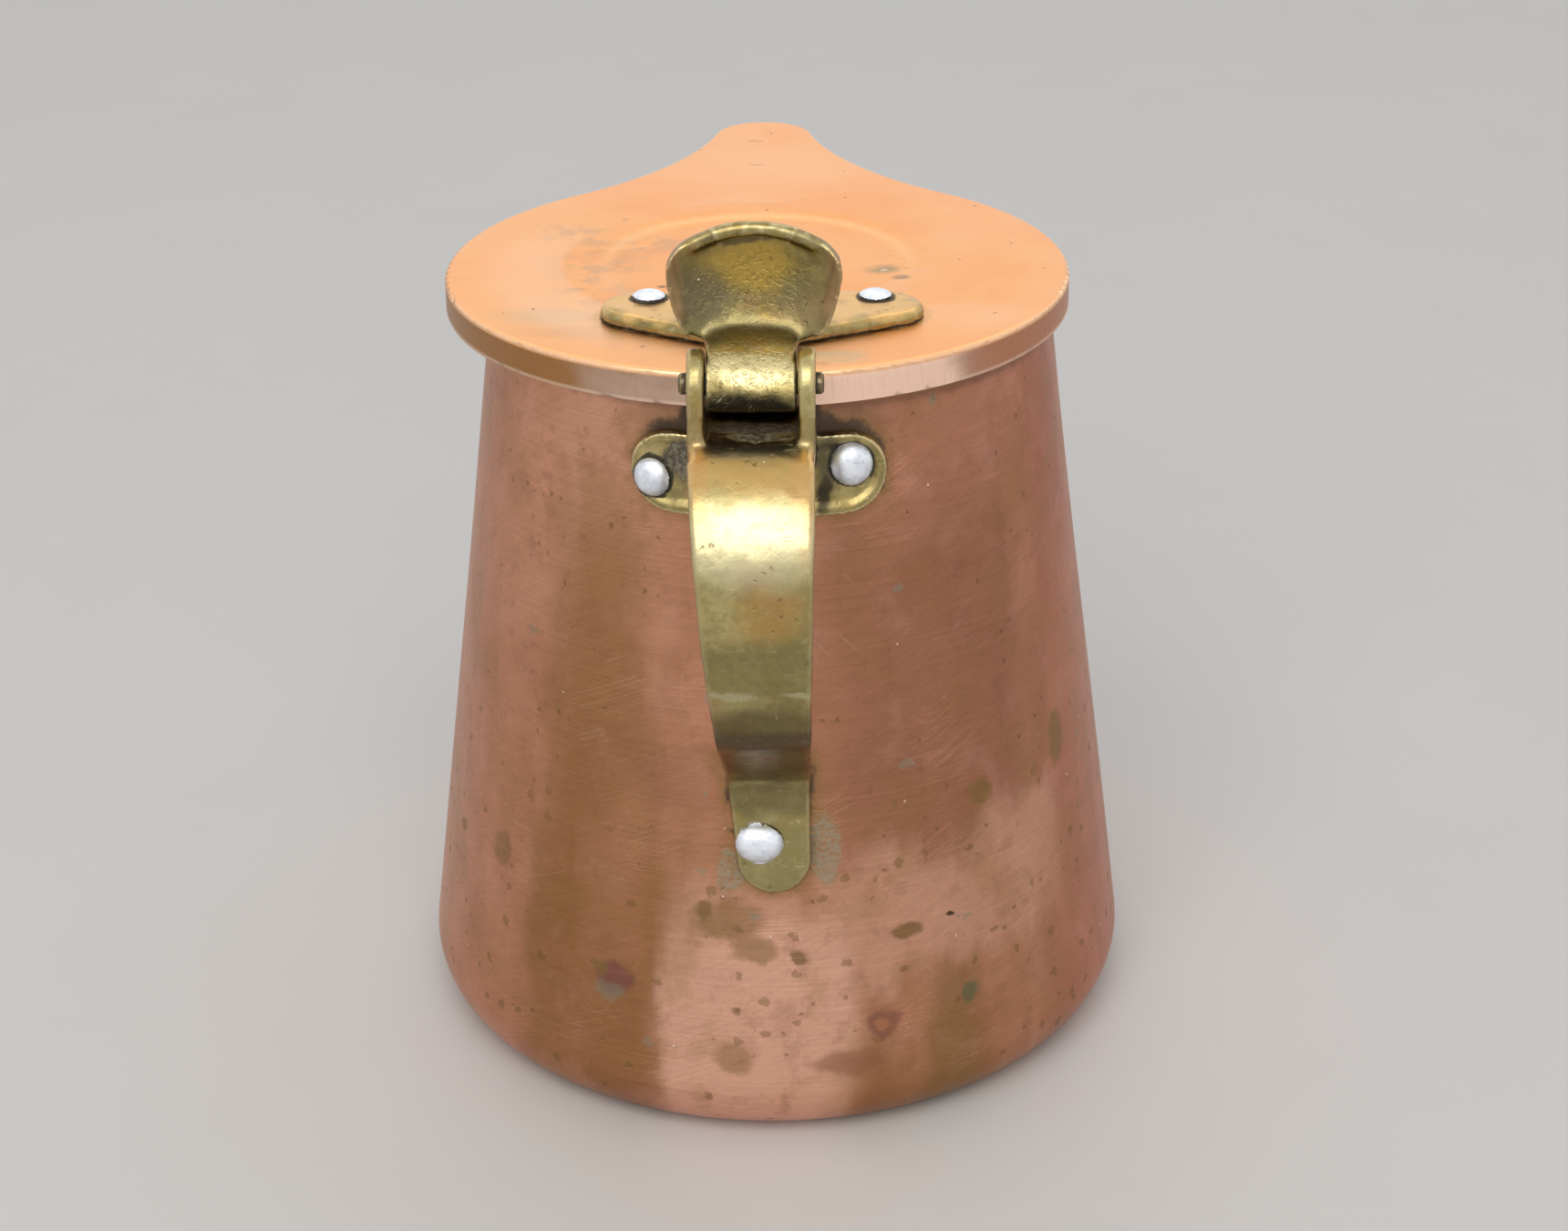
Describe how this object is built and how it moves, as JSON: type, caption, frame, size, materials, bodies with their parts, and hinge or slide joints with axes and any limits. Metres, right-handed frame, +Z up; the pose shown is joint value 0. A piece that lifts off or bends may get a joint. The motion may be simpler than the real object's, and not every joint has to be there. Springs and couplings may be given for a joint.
{
  "type": "jug with hinged lid",
  "caption": "Conical copper jug with a beaked lid hinged at the handle, a thumb piece, a strap handle in brass and riveted fittings.",
  "frame": {"origin": "middle of the flat base", "axes": "+Z up, +Y towards the spout, the handle on the -Y side"},
  "size_m": [0.1196, 0.1576, 0.1496],
  "materials": {
    "copper": "worn brushed copper",
    "lid_copper": "polished warm copper",
    "brass": "aged cast brass",
    "rivet": "dull"
  },
  "bodies": {
    "jug": {"body": "copper", "spout": "copper", "hinge_pin": "brass", "handle": "brass", "handle_bracket": "brass", "bracket_rivet_left": "rivet", "bracket_rivet_right": "rivet", "foot_rivet": "rivet"},
    "lid": {"lid": "lid_copper", "thumb_lever": "brass", "lid_rivet_left": "rivet", "lid_rivet_right": "rivet"}
  },
  "joints": [
    {"name": "lid_hinge", "type": "hinge", "parent": "jug", "child": "lid", "pos_m": [-0.002, -0.055, 0.1278], "axis": [1, 0, 0], "range_deg": [0, 140]}
  ]
}
